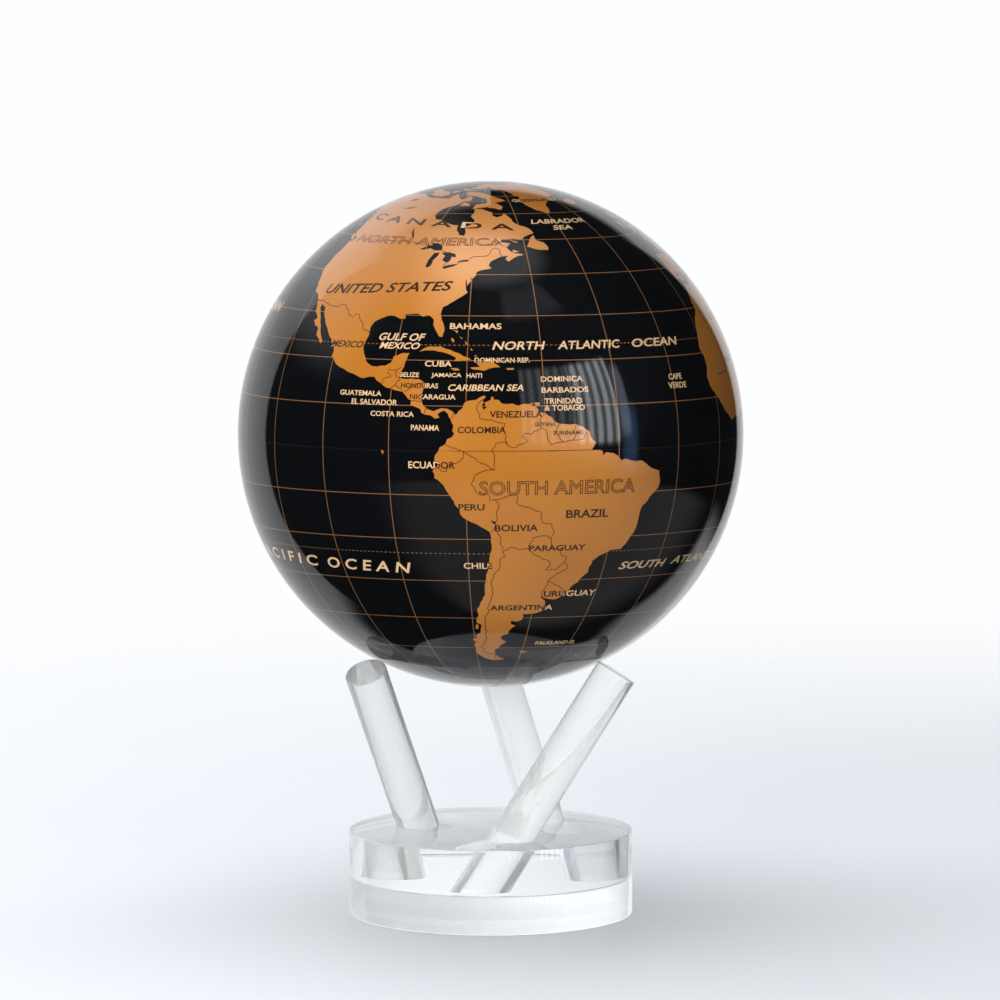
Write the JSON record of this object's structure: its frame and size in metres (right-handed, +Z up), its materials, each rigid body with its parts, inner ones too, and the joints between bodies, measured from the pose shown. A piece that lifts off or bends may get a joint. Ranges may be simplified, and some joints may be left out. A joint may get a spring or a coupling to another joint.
{
  "type": "desktop globe on stand",
  "caption": "Clear ball holding a black and bronze globe that turns by itself, resting on a clear round stand with three leaning rods.",
  "frame": {"origin": "centre of the stand's underside, on the surface that it rests on", "axes": "+Z up through the middle of the ball, -Y towards the viewer with the rods' left and right ends on that side, +X to the viewer's right"},
  "size_m": [0.1142, 0.1142, 0.1661],
  "materials": {
    "clear_acrylic": "clear cast acrylic, flame polished",
    "clear_rod": "clear extruded acrylic rod, polished ends",
    "clear_ball": "clear moulded acrylic, polished",
    "printed_globe": "black gloss sea with bronze-gold printed land and thin copper grid lines",
    "ballast_brass": "cast, as turned",
    "deck_plastic": "moulded, matt",
    "screw_steel": "plated",
    "light_cell": "dark blue cell with fine silver fingers",
    "board_resin": "green solder mask",
    "bobbin_nylon": "natural nylon",
    "coil_wire": "enamelled copper winding",
    "bridge_alloy": "bent strip, brushed",
    "jewel_ruby": "polished ruby-coloured cup",
    "axle_steel": "ground pin",
    "shutter_film": "stamped film",
    "carrier_plastic": "moulded",
    "magnet_metal": "sintered"
  },
  "bodies": {
    "stand": {"base_lower_disc": "clear_acrylic", "base_upper_disc": "clear_acrylic", "support_rod_back": "clear_rod", "support_rod_left": "clear_rod", "support_rod_right": "clear_rod"},
    "ball": {"shell_upper": "clear_ball", "shell_lower": "clear_ball", "fill_plug": "clear_ball"},
    "inner_globe": {"globe_north": "printed_globe", "globe_south": "printed_globe", "ballast_weight": "ballast_brass", "cell_deck": "deck_plastic", "deck_screws": "screw_steel", "light_cells": "light_cell", "driver_board": "board_resin", "coil_bobbins": "bobbin_nylon", "drive_coils": "coil_wire", "bearing_bridge": "bridge_alloy", "bridge_screws": "screw_steel", "upper_jewel": "jewel_ruby", "lower_jewel": "jewel_ruby"},
    "compass_rotor": {"axle": "axle_steel", "rotor_hub": "bobbin_nylon", "shutter_disc": "shutter_film", "magnet_carrier": "carrier_plastic", "bar_magnets": "magnet_metal"}
  },
  "joints": [
    {"name": "ball_lift", "type": "slide", "parent": "stand", "child": "ball", "axis": [0, 0, 1], "range_m": [0, 0.05]},
    {"name": "globe_spin", "type": "hinge", "parent": "ball", "child": "inner_globe", "pos_m": [0, 0, 0.1086], "axis": [0, 0, 1], "continuous": true},
    {"name": "compass_pivot", "type": "hinge", "parent": "inner_globe", "child": "compass_rotor", "pos_m": [0, 0, 0.1086], "axis": [0, 0, 1], "continuous": true}
  ],
  "couplings": [
    {"joint": "compass_pivot", "follows": "globe_spin", "ratio": -1}
  ]
}
